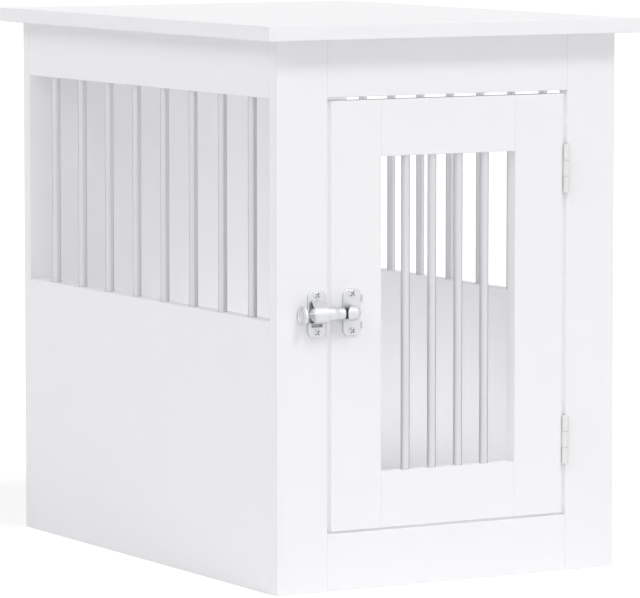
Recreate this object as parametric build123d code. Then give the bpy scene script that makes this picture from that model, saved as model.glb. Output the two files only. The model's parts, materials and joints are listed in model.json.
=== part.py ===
from build123d import *
from math import acos, atan2, copysign, cos, hypot, pi, sin
import os

# Dog crate end table: a box of 15 mm boards under an overhanging table top, with a
# barred opening in each side and a barred door on butt hinges, shut by a slide bolt.
# Millimetres. X runs to the right seen from the front, Y to the back, Z up.
# The origin is on the floor, in the middle of the body.

# ---- body ----
body_width = 400.0
body_depth = 560.0
body_height = 555.0
board = 15.0  # thickness of every board
strip = 58.0  # width of the stiles, and of the rails on the body
arris = 0.4  # small chamfer along every board edge
top_board = 15.0  # thickness of the table top
top_overhang = 20.0  # on all four sides
side_panel_height = 275.0  # lower panel of each side
floor_height = 30.0  # floor panel's underside above the floor

# ---- door ----
door_rail = 57.0  # height of the door's rails
door_side_gap = 4.5
door_top_gap = 3.5
door_bottom_gap = 2.5

# ---- bars ----
bar_dia = 9.0
bar_seat = 10.0  # depth that a bar enters a board at each end
bar_fit = 0.1  # radial clearance of a bar in its hole
side_bars = 8
side_bar_end = 63.0  # outer face of the body to the first bar's axis
door_bars = 4
door_bar_end = 32.7  # edge of the window to the first bar's axis

# ---- hinges ----
hinge_inset = 76.5  # end of the door to the middle of a hinge
hinge_barrel = 50.0  # length of the three knuckles together
knuckle_dia = 6.6
knuckle_gap = 0.25  # between two knuckles
hinge_proud = 3.0  # hinge axis in front of the front face
hinge_pin_dia = 2.4
hinge_pin_fit = 0.05  # radial
pin_head_dia = 4.4
pin_head_height = 0.9
leaf_thick = 1.2
leaf_margin = 0.8  # between a leaf's edge and the faces of the board

# ---- latch ----
latch_height = 281.5  # bolt axis above the floor
plate_width = 20.0
plate_height = 47.5
plate_thick = 2.5
plate_corner = 6.5
plate_bevel = 1.0  # along the plates' front arris
latch_base_gap = 3.5  # latch base plate to the stile's inner edge
keeper_gap = 12.5  # keeper plate to the door's edge
bolt_dia = 14.5
bolt_tip_dia = 12.0
bolt_taper = 6.0  # length of the cone between the two diameters
bolt_play = 0.25  # bolt to the plate, the bridge and the hood
bolt_engagement = 13.0  # nose beyond the keeper plate's left edge
bolt_tail = 1.0  # tail from the latch base plate's left edge
bolt_tail_round = 3.0
bolt_withdrawn = 2.0  # nose to the door's edge when the bolt is drawn
nose_gap = 6.0  # bolt's shoulder, where its nose cap starts, to the keeper plate
nose_dia = 11.0
nose_bevel = 1.5
nose_end = 3.0  # cap beyond the pin that carries it
nose_pin_dia = 6.0
nose_fit = 0.05  # radial clearance of the cap on its pin
bridge_width = 12.5
bridge_gap = 0.75  # upper screw head to the bridge's upper foot
bridge_below = 10.0  # bolt axis to the bridge's lower foot
bridge_wall = 1.5
bridge_slot = 3.2  # height of the slot in the plate below the bridge
hood_wall = 1.7
hood_mouth = 12.1  # mouth of the hood from the keeper plate's left edge, at the plate
hood_lean = 15.0  # how far the hood's lip leans out beyond its foot
hood_end = 1.5  # hood to the keeper plate's right edge
hood_bevel = 4.0
lug_width = 2.6
lug_height = 6.5
lug_thick = 1.6
lug_offset = 13.6
knob_clearance = 0.4  # knob's rim to the stile
knob_thick = 2.2  # rim of the disc
knob_cone = 5.5  # length of the cone behind the disc
knob_bevel = 0.9
knob_dish = 0.9  # hollow in the knob's outer face
knob_neck = 5.1  # between the cone and the bolt
knob_neck_dia = 6.4
knob_stud_dia = 4.0
knob_stud = 8.0  # screwed into the bolt

# ---- latch screws ----
screw_spacing = 37.5
screw_dia = 3.2
screw_head_dia = 7.4
screw_head_height = 0.9
screw_head_chamfer = 0.5
screw_length = 12.0  # in the board
screw_fit = 0.05  # radial clearance of a shank in its hole
cross_width = 0.9  # arm of the crossed recess
cross_length = 4.6
cross_depth = 0.7

# ---- joints between boards ----
tenon_thick = 5.0
tenon_length = 12.0
tenon_shoulder = 8.0  # above and below a rail's tenon
tongue_length = 6.0  # on the ends of the side boards
tongue_inset = 10.0
joint_fit = 0.1
cleat = 15.0  # square battens that carry the floor and hold the table top
cleat_setback = 60.0  # end of a cleat to the front frame and the back panel

# ---- places that follow ----
left = -body_width / 2
right = body_width / 2
front = -body_depth / 2
back = body_depth / 2
inner_front = front + board
inner_back = back - board
mid_front = front + board / 2

opening_left = left + strip
opening_right = right - strip
opening_bottom = strip
opening_top = body_height - strip

door_left = opening_left + door_side_gap
door_right = opening_right - door_side_gap
door_bottom = opening_bottom + door_bottom_gap
door_top = opening_top - door_top_gap
window_left = door_left + strip
window_right = door_right - strip
window_bottom = door_bottom + door_rail
window_top = door_top - door_rail

hinge_x = opening_right - door_side_gap / 2
hinge_y = front - hinge_proud
hinge_heights = {
    "upper": door_top - hinge_inset,
    "lower": door_bottom + hinge_inset,
}

latch_base_right = opening_left - latch_base_gap
latch_base_left = latch_base_right - plate_width
latch_base_x = latch_base_right - plate_width / 2
keeper_left = door_left + keeper_gap
keeper_right = keeper_left + plate_width
keeper_x = keeper_left + plate_width / 2
bolt_y = front - plate_thick - bolt_play - bolt_dia / 2
bolt_tail_x = latch_base_left + bolt_tail
bolt_tip_x = keeper_left + bolt_engagement
bolt_shoulder_x = keeper_left - nose_gap
bolt_travel = bolt_tip_x - door_left + bolt_withdrawn
knob_radius = front - bolt_y - knob_clearance
bridge_above = (screw_spacing - screw_head_dia) / 2 - bridge_gap
screw_heights = (latch_height - screw_spacing / 2, latch_height + screw_spacing / 2)

UP = Vector(0, 0, 1)
DOWN = Vector(0, 0, -1)
RIGHT = Vector(1, 0, 0)
FORWARD = Vector(0, -1, 0)
BACKWARD = Vector(0, 1, 0)


# ---- shapes ----
def block(x0, x1, y0, y1, z0, z1):
    """Box between two corners."""
    centre = Pos((x0 + x1) / 2, (y0 + y1) / 2, (z0 + z1) / 2)
    return centre * Box(x1 - x0, y1 - y0, z1 - z0)


def plank(x0, x1, y0, y1, z0, z1):
    """Board with its arrises eased."""
    solid = block(x0, x1, y0, y1, z0, z1)
    return chamfer(solid.edges(), arris)


def rod(radius, foot, direction, length):
    """Cylinder that starts at foot and runs along direction."""
    seat = Plane(origin=foot, z_dir=direction)
    return seat * Cylinder(radius, length, align=(Align.CENTER, Align.CENTER, Align.MIN))


def turned(profile, foot, direction):
    """Solid turned from (radius, height) points, with its axis along direction."""
    outline = make_face(Polyline(*[(r, 0, h) for r, h in profile], close=True))
    seat = Plane(origin=foot, z_dir=direction)
    return seat * revolve(outline, Axis.Z)


def group(solids):
    """Separate solids that share a node."""
    return Compound(children=list(solids))


# ---- bars ----
def bar_hole(x, y, z, direction):
    """Blind hole for one end of a bar."""
    return rod(bar_dia / 2 + bar_fit, (x, y, z), direction, bar_seat)


def bar(x, y, z0, z1):
    """Round bar seated in the boards below z0 and above z1."""
    length = z1 - z0 + 2 * bar_seat
    return rod(bar_dia / 2, (x, y, z0 - bar_seat), UP, length)


def spread(first, last, count):
    """Evenly spaced places from first to last."""
    step = (last - first) / (count - 1)
    return [first + step * i for i in range(count)]


side_places = {"left": left + board / 2, "right": right - board / 2}
side_spans = ((0, side_panel_height), (opening_top, body_height))
side_bar_places = spread(front + side_bar_end, back - side_bar_end, side_bars)
door_bar_places = spread(window_left + door_bar_end, window_right - door_bar_end, door_bars)


# ---- joints between boards ----
def tenon(face, way, z0, z1, fit=0.0):
    """Tenon on a rail's end, from the joint face along X, or with a fit its mortise."""
    x0, x1 = sorted((face, face + way * (tenon_length + fit)))
    half = tenon_thick / 2 + fit
    low = z0 + tenon_shoulder - fit
    high = z1 - tenon_shoulder + fit
    return block(x0, x1, mid_front - half, mid_front + half, low, high)


def tongue(x, face, way, z0, z1, fit=0.0):
    """Tongue on a side board's end, from the joint face along Y, or with a fit its groove."""
    y0, y1 = sorted((face, face + way * (tongue_length + fit)))
    half = tenon_thick / 2 + fit
    return block(x - half, x + half, y0, y1, z0 + tongue_inset - fit, z1 - tongue_inset + fit)


def rail(x0, x1, z0, z1):
    """Rail of a frame, with a tenon at each end."""
    wood = plank(x0, x1, front, inner_front, z0, z1)
    return wood + tenon(x0, -1, z0, z1) + tenon(x1, 1, z0, z1)


def stile(x0, x1, z0, z1, joint_x, way, rails):
    """Stile of a frame, with a mortise for each of its rails."""
    wood = plank(x0, x1, front, inner_front, z0, z1)
    return wood - [tenon(joint_x, way, low, high, joint_fit) for low, high in rails]


def side_grooves(face, way, x):
    """Grooves for the tongues of one side's two boards, from a joint face along Y."""
    return [tongue(x, face, way, low, high, joint_fit) for low, high in side_spans]


def side_board(x, z0, z1):
    """Board of a side, with a tongue at each end."""
    wood = plank(x - board / 2, x + board / 2, inner_front, inner_back, z0, z1)
    return wood + tongue(x, inner_front, -1, z0, z1) + tongue(x, inner_back, 1, z0, z1)


# ---- screws ----
def cross(face, into):
    """Crossed recess, to cut from the face of a screw head."""
    low = (Align.CENTER, Align.CENTER, Align.MIN)
    flat = Box(cross_length, cross_width, cross_depth, align=low)
    return Plane(origin=face, z_dir=into) * (flat + Rot(0, 0, 90) * flat)


def latch_screw(x, z):
    """Screw with a flat-topped head on a latch plate."""
    head = screw_head_dia / 2
    shank = screw_dia / 2
    length = plate_thick + screw_length
    profile = [
        (0, -screw_head_height), (head - screw_head_chamfer, -screw_head_height),
        (head, screw_head_chamfer - screw_head_height), (head, 0),
        (shank, 0), (shank, length), (0, length),
    ]
    face = Vector(x, front - plate_thick, z)
    return turned(profile, face, BACKWARD) - cross(face + FORWARD * screw_head_height, BACKWARD)


def latch_screws(x):
    return [latch_screw(x, z) for z in screw_heights]


def screw_holes(x, way, length):
    """Holes for both screws of a latch plate, from the front face."""
    return [rod(screw_dia / 2 + screw_fit, (x, front, z), way, length) for z in screw_heights]


# ---- hinges ----
def knuckle(z0, z1):
    """One knuckle of a hinge, round the pin."""
    ring = rod(knuckle_dia / 2, (hinge_x, hinge_y, z0), UP, z1 - z0)
    bore = rod(hinge_pin_dia / 2 + hinge_pin_fit, (hinge_x, hinge_y, z0), UP, z1 - z0)
    return ring - bore


def knuckle_spans(height):
    """Heights of the three knuckles: two of the frame's leaf, one of the door's."""
    bottom = height - hinge_barrel / 2
    third = hinge_barrel / 3
    edges = [bottom, bottom + third, bottom + 2 * third, bottom + 3 * third]
    half = knuckle_gap / 2
    lower = (edges[0], edges[1] - half)
    middle = (edges[1] + half, edges[2] - half)
    upper = (edges[2] + half, edges[3])
    return {1: [lower, upper], -1: [middle]}


def hinge_leaf(height, side):
    """Leaf on the stile (side 1) or on the door (side -1), with its knuckles."""
    outer = hinge_x + side * door_side_gap / 2
    inner = outer - side * leaf_thick
    x0, x1 = sorted((outer, inner))
    bottom = height - hinge_barrel / 2
    leaf = block(x0, x1, front + leaf_margin, inner_front - leaf_margin, bottom, bottom + hinge_barrel)
    root = hinge_y + knuckle_dia / 4
    for z0, z1 in knuckle_spans(height)[side]:
        bore = rod(hinge_pin_dia / 2 + hinge_pin_fit, (hinge_x, hinge_y, z0), UP, z1 - z0)
        tongue = block(x0, x1, root, front + leaf_margin, z0, z1) - bore
        leaf = leaf + tongue + knuckle(z0, z1)
    return leaf


def hinge_pin(height):
    """Pin riveted over at both ends."""
    half = hinge_barrel / 2
    shank = hinge_pin_dia / 2
    head = pin_head_dia / 2
    end = half + pin_head_height
    profile = [
        (0, -end), (shank, -end), (head, -half), (shank, -half),
        (shank, half), (head, half), (shank, end), (0, end),
    ]
    return turned(profile, (hinge_x, hinge_y, height), UP)


# ---- latch ----
def latch_plate(x):
    """Plate with rounded corners and a softened front arris, on the front face."""
    seat = Plane(origin=(x, front, latch_height), x_dir=RIGHT, z_dir=FORWARD)
    plate = extrude(seat * RectangleRounded(plate_width, plate_height, plate_corner), plate_thick)
    rim = plate.faces().sort_by(Axis.Y)[0].edges()
    return chamfer(rim, plate_bevel) - screw_holes(x, FORWARD, plate_thick)


def bridge_side(radius, foot):
    """Corner and crest points of one side of the bridge's section, from its foot to the crest."""
    drop = front - plate_thick - bolt_y
    reach = hypot(foot, drop)
    turn = atan2(abs(foot), drop) + acos(radius / reach)
    way = copysign(1, foot)
    y = radius * cos(turn)
    z = way * radius * sin(turn)
    middle = (pi + turn) / 2
    between = (0, bolt_y + radius * cos(middle), latch_height + way * radius * sin(middle))
    return (0, front - plate_thick, latch_height + foot), (0, bolt_y + y, latch_height + z), between


def bridge_section(radius, above, below):
    """Section of the bridge: a round crest over the bolt, with legs that slope down to the plate."""
    top_foot, top_start, top_middle = bridge_side(radius, above)
    low_foot, low_start, low_middle = bridge_side(radius, -below)
    crest = (0, bolt_y - radius, latch_height)
    upper = ThreePointArc(top_start, top_middle, crest)
    lower = ThreePointArc(crest, low_middle, low_start)
    legs = Polyline(low_start, low_foot, top_foot, top_start)
    return make_face([upper, lower, legs])


def latch_base():
    """Base plate with the bridge that guides the bolt and the slot below it."""
    x0 = latch_base_x - bridge_width / 2
    inner_radius = bolt_dia / 2 + bolt_play
    outside = bridge_section(inner_radius + bridge_wall, bridge_above, bridge_below)
    inside = bridge_section(inner_radius, bridge_above - bridge_wall, bridge_below - bridge_wall)
    bridge = Pos(x0, 0, 0) * extrude(outside - inside, bridge_width, dir=RIGHT)
    slot_top = latch_height - bridge_below
    slot = block(x0, x0 + bridge_width, front - plate_thick, front, slot_top - bridge_slot, slot_top)
    return latch_plate(latch_base_x) - slot + bridge


def hood_form(radius, start, end, bevel):
    """Half-round tunnel on the bolt's axis, filled down to the plate, with a bevelled end."""
    seat = front - plate_thick
    tunnel = rod(radius, (start, bolt_y, latch_height), RIGHT, end - start)
    skirt = block(start, end, bolt_y, seat, latch_height - radius, latch_height + radius)
    form = tunnel + skirt
    crown = form.edges().filter_by(GeomType.CIRCLE).sort_by(Axis.X)[-1]
    return chamfer(crown, bevel)


def keeper():
    """Keeper plate with two lugs and a hood, closed at its far end, for the bolt's tip."""
    inner = bolt_tip_dia / 2 + bolt_play
    outer = inner + hood_wall
    start = keeper_left - hood_lean
    hood = hood_form(outer, start, keeper_right - hood_end, hood_bevel)
    hollow = hood_form(inner, start, keeper_right - hood_end - hood_wall, hood_bevel)
    seat = front - plate_thick
    height = seat - bolt_y + outer
    large = 4 * (plate_width + outer)
    slant = Plane(
        origin=(keeper_left + hood_mouth, seat, latch_height),
        z_dir=(-height, hood_lean, 0),
    )
    mouth = slant * Box(large, large, large, align=(Align.CENTER, Align.CENTER, Align.MIN))
    solid = latch_plate(keeper_x) + (hood - hollow - mouth)
    for sign in (-1, 1):
        z = latch_height + sign * lug_offset
        solid = solid + block(
            keeper_right - lug_width, keeper_right + lug_width,
            front - lug_thick, front, z - lug_height / 2, z + lug_height / 2,
        )
    return solid


def rounding(radius, size, steps=6):
    """Points of a rounded end, from its flat face at height 0 to the side of a rod."""
    turns = spread(0, pi / 2, steps)
    return [(radius - size + size * sin(turn), size - size * cos(turn)) for turn in turns]


def latch_bolt():
    """Turned bolt with a rounded tail, thinner towards the keeper, with a pin for its nose cap."""
    thick = bolt_dia / 2
    thin = bolt_tip_dia / 2
    pin = nose_pin_dia / 2
    shoulder = bolt_shoulder_x - bolt_tail_x
    length = bolt_tip_x - nose_end - bolt_tail_x
    cone_start = opening_left - bolt_tail_x
    profile = [
        (0, 0), *rounding(thick, bolt_tail_round),
        (thick, cone_start), (thin, cone_start + bolt_taper),
        (thin, shoulder), (pin, shoulder), (pin, length), (0, length),
    ]
    tail = (bolt_tail_x, bolt_y, latch_height)
    return turned(profile, tail, RIGHT) - rod(knob_stud_dia / 2 + screw_fit, tail, RIGHT, knob_stud)


def bolt_nose():
    """Cap that covers the bolt's pin and enters the hood."""
    outer = nose_dia / 2
    bore = nose_pin_dia / 2 + nose_fit
    length = bolt_tip_x - bolt_shoulder_x
    depth = length - nose_end + nose_fit
    profile = [
        (bore, 0), (outer, 0), (outer, length - nose_bevel), (outer - nose_bevel, length),
        (0, length), (0, depth), (bore, depth),
    ]
    return turned(profile, (bolt_shoulder_x, bolt_y, latch_height), RIGHT)


def latch_knob():
    """Disc with a bevelled rim and a dished face, on a cone with a neck and a stud."""
    start = bolt_tail_x - knob_neck - knob_cone - knob_thick
    neck = knob_neck_dia / 2
    stud = knob_stud_dia / 2
    cone_end = knob_thick + knob_cone
    neck_end = cone_end + knob_neck
    stud_end = neck_end + knob_stud
    profile = [
        (0, knob_dish), (knob_radius - 2 * knob_bevel, knob_dish),
        (knob_radius - knob_bevel, 0), (knob_radius, knob_bevel),
        (knob_radius, knob_thick), (neck, cone_end), (neck, neck_end),
        (stud, neck_end), (stud, stud_end), (0, stud_end),
    ]
    return turned(profile, (start, bolt_y, latch_height), RIGHT)


# ---- the pieces ----
pieces = {}

# table top
pieces["table_top"] = plank(
    left - top_overhang, right + top_overhang, front - top_overhang, back + top_overhang,
    body_height, body_height + top_board,
)

# front frame
body_rails = {"bottom": (0, opening_bottom), "top": (opening_top, body_height)}
for name, x0, x1, joint_x, way, side_x in (
    ("left", left, opening_left, opening_left, -1, side_places["left"]),
    ("right", opening_right, right, opening_right, 1, side_places["right"]),
):
    wood = stile(x0, x1, 0, body_height, joint_x, way, body_rails.values())
    pieces[f"front_{name}_stile"] = wood - side_grooves(inner_front, -1, side_x)
pieces["front_left_stile"] -= screw_holes(latch_base_x, BACKWARD, screw_length)
for name, (z0, z1) in body_rails.items():
    pieces[f"front_{name}_rail"] = rail(opening_left, opening_right, z0, z1)

# back panel
panel = plank(left, right, inner_back, back, 0, body_height)
for x in side_places.values():
    panel = panel - side_grooves(inner_back, 1, x)
pieces["back_panel"] = panel

# sides
for name, x in side_places.items():
    (low0, low1), (high0, high1) = side_spans
    panel = side_board(x, low0, low1)
    pieces[f"{name}_lower_panel"] = panel - [bar_hole(x, y, low1, DOWN) for y in side_bar_places]
    top = side_board(x, high0, high1)
    pieces[f"{name}_top_rail"] = top - [bar_hole(x, y, high0, UP) for y in side_bar_places]
    for number, y in enumerate(side_bar_places, 1):
        pieces[f"{name}_bar_{number}"] = bar(x, y, low1, high0)

# floor panel, and the cleats under it and under the table top
pieces["floor_panel"] = plank(
    left + board, right - board, inner_front, inner_back, floor_height, floor_height + board,
)
for name, sign in (("left", -1), ("right", 1)):
    x0, x1 = sorted((sign * (body_width / 2 - board), sign * (body_width / 2 - board - cleat)))
    for place, z1 in (("floor", floor_height), ("top", body_height)):
        pieces[f"{place}_cleat_{name}"] = plank(
            x0, x1, inner_front + cleat_setback, inner_back - cleat_setback, z1 - cleat, z1,
        )

# door
door_rails = {"bottom": (door_bottom, window_bottom), "top": (window_top, door_top)}
for name, x0, x1, joint_x, way in (
    ("left", door_left, window_left, window_left, -1),
    ("right", window_right, door_right, window_right, 1),
):
    pieces[f"door_{name}_stile"] = stile(
        x0, x1, door_bottom, door_top, joint_x, way, door_rails.values()
    )
pieces["door_left_stile"] -= screw_holes(keeper_x, BACKWARD, screw_length)
for name, (z0, z1) in door_rails.items():
    mouth, way = (z1, DOWN) if name == "bottom" else (z0, UP)
    wood = rail(window_left, window_right, z0, z1)
    pieces[f"door_{name}_rail"] = wood - [
        bar_hole(x, mid_front, mouth, way) for x in door_bar_places
    ]
for number, x in enumerate(door_bar_places, 1):
    pieces[f"door_bar_{number}"] = bar(x, mid_front, window_bottom, window_top)

# hinges
for name, height in hinge_heights.items():
    pieces[f"{name}_hinge_frame_leaf"] = hinge_leaf(height, 1)
    pieces[f"{name}_hinge_door_leaf"] = hinge_leaf(height, -1)
    pieces[f"{name}_hinge_pin"] = hinge_pin(height)

# latch
pieces["latch_base"] = latch_base()
pieces["latch_keeper"] = keeper()
pieces["latch_bolt"] = latch_bolt()
pieces["latch_nose"] = bolt_nose()
pieces["latch_knob"] = latch_knob()
pieces["latch_base_screws"] = group(latch_screws(latch_base_x))
pieces["latch_keeper_screws"] = group(latch_screws(keeper_x))

os.makedirs("parts", exist_ok=True)
for name, piece in pieces.items():
    export_step(piece, f"parts/{name}.step")
print(len(pieces), "pieces; bolt travel", round(bolt_travel, 2), "mm")
print("hinge axis", round(hinge_x, 3), round(hinge_y, 3), "bolt axis y", round(bolt_y, 3))
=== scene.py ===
import json
from math import acos, atan2, cos, hypot, pi, radians, sin, sqrt, tan

import bmesh
import bpy
from bpy.props import FloatProperty, FloatVectorProperty, IntProperty, PointerProperty
from mathutils import Matrix, Vector

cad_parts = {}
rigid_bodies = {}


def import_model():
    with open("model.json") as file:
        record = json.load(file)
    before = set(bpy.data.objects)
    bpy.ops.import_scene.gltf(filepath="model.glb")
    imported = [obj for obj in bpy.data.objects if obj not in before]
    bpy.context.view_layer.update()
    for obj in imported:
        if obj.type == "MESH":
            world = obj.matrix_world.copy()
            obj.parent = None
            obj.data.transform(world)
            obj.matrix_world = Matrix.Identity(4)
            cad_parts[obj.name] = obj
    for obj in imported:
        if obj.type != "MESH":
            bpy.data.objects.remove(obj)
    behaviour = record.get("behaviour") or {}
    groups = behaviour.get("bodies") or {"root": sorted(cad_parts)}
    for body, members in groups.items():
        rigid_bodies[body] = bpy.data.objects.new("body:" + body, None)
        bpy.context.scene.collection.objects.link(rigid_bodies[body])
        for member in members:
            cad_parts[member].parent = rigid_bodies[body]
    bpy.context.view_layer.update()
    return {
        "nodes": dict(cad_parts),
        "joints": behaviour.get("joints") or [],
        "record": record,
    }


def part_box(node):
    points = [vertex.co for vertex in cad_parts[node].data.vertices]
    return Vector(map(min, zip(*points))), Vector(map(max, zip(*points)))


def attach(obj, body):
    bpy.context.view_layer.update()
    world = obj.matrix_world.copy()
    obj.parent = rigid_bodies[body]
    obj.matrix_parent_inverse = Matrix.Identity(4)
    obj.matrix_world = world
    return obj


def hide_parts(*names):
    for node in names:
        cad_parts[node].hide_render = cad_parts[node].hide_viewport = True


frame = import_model()

bl_info = {
    "name": "Dog Crate End Table",
    "version": (1, 0, 0),
    "blender": (4, 5, 0),
    "location": "View3D > Sidebar > Crate Table",
    "description": "Finishes the boards of a dog crate end table and builds its bars, hinges and slide bolt",
    "category": "Object",
}

MM = 0.001
CRISP_ANGLE = radians(32)
RIGHT = Vector((1, 0, 0))
FORWARD = Vector((0, -1, 0))


# ---- sizes and colours that a user may change ----
def length(name, description, default):
    return FloatProperty(
        name=name, description=description, default=default, min=0.0, unit="LENGTH", precision=5)


def share(name, description, default):
    return FloatProperty(
        name=name, description=description, default=default, min=0.0, max=1.0, subtype="FACTOR")


def strength(name, description, default):
    return FloatProperty(name=name, description=description, default=default, min=0.0)


def colour(name, description, default):
    return FloatVectorProperty(
        name=name, description=description, default=default, min=0.0, max=1.0, subtype="COLOR")


def count(name, description, default):
    return IntProperty(name=name, description=description, default=default, min=3)


def power(name, description, default):
    return FloatProperty(
        name=name, description=description, default=default, min=0.0, unit="POWER", precision=4)


def angle(name, description, degrees):
    return FloatProperty(name=name, description=description, default=radians(degrees), subtype="ANGLE")


class CrateBoardFinish(bpy.types.PropertyGroup):
    """Finish of the coated boards and of the bare battens."""
    coating: colour("Coating", "Colour of the white coating", (0.905, 0.905, 0.922))
    shade: colour("Shade", "Colour of the slightly duller patches of the coating", (0.885, 0.885, 0.903))
    worn: colour("Worn edge", "Colour of the coating along the arrises", (0.86, 0.86, 0.875))
    roughness: share("Roughness", "Roughness of the coating", 0.42)
    peel: length("Peel", "Size of the waves in the sprayed coating", 1.6 * MM)
    peel_depth: length("Peel depth", "Height of the waves in the coating", 0.006 * MM)
    patch: length("Patch", "Size of the duller patches", 60 * MM)
    arris: length("Arris", "Width of the softened edge", 0.7 * MM)
    batten: colour("Batten", "Colour of the bare softwood", (0.62, 0.45, 0.27))
    batten_dark: colour("Batten grain", "Colour of the late wood", (0.45, 0.29, 0.15))


class CrateBarShape(bpy.types.PropertyGroup):
    """Round bars of the side openings and the door."""
    metal: colour("Metal", "Colour of the plating", (0.69, 0.695, 0.72))
    dull: colour("Dull metal", "Colour of the drawn streaks", (0.65, 0.655, 0.68))
    # painted shade: colour laid into inner corners by ambient occlusion
    hollow: colour("Hollow", "Colour in inner corners", (0.50, 0.51, 0.53))
    # painted dark reflection: colour where the surface is seen at a shallow angle
    rim: colour("Rim", "Colour of the plating seen at a shallow angle", (0.22, 0.225, 0.24))
    roughness: share("Roughness", "Roughness of the plating", 0.3)
    metallic: share("Metallic", "Share of the surface that mirrors as metal does", 0.5)
    facets: count("Facets", "Facets round a bar", 56)
    end_bevel: length("End bevel", "Bevel at the ends, inside the boards", 0.6 * MM)


class CrateHingeShape(bpy.types.PropertyGroup):
    """Butt hinges between the door and the right stile."""
    metal: colour("Metal", "Colour of the plated steel", (0.62, 0.627, 0.65))
    dull: colour("Dull metal", "Colour of the streaks", (0.54, 0.547, 0.57))
    # painted shade: colour laid into inner corners by ambient occlusion
    hollow: colour("Hollow", "Colour in inner corners", (0.34, 0.345, 0.355))
    # painted dark reflection: colour where the surface is seen at a shallow angle
    rim: colour("Rim", "Colour of the steel seen at a shallow angle", (0.40, 0.405, 0.42))
    roughness: share("Roughness", "Roughness of the plated steel", 0.28)
    leaf_thick: length("Leaf thickness", "Thickness of the sheet", 1.2 * MM)
    leaf_margin: length("Leaf margin", "Leaf's front edge behind the front of the boards", 0.8 * MM)
    leaf_corner: length("Leaf corner", "Radius of a leaf's back corners", 2.0 * MM)
    knuckle_gap: length("Knuckle gap", "Gap between two knuckles", 0.25 * MM)
    knuckle_edge: length("Knuckle edge", "Rounding at the ends of a knuckle", 0.25 * MM)
    bore: length("Bore", "Diameter of the bore for the pin", 2.5 * MM)
    pin: length("Pin", "Diameter of the pin", 2.4 * MM)
    pin_head: length("Pin head", "Diameter of the riveted ends", 4.4 * MM)
    screw_head: length("Screw head", "Diameter of the countersunk heads", 5.6 * MM)
    screw_shank: length("Screw shank", "Diameter of the shanks", 2.8 * MM)
    screw_length: length("Screw length", "Length of the screws in the board", 11 * MM)
    screw_point: length("Screw point", "Length of a screw's point", 3 * MM)
    screw_sink: length("Screw sink", "Length of the cone below a screw's head", 1.56 * MM)
    screw_spread: length("Screw spread", "Distance between a leaf's two screws", 32 * MM)
    screw_row: share("Screw row", "Place of the screws across the leaf, from its front edge", 0.56)
    cross: length("Cross", "Length of the crossed recess", 3.2 * MM)
    cross_arm: length("Cross arm", "Width of the recess's arms", 0.7 * MM)
    cross_depth: length("Cross depth", "Depth of the recess", 0.9 * MM)
    facets: count("Facets", "Facets round a knuckle", 48)


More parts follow.
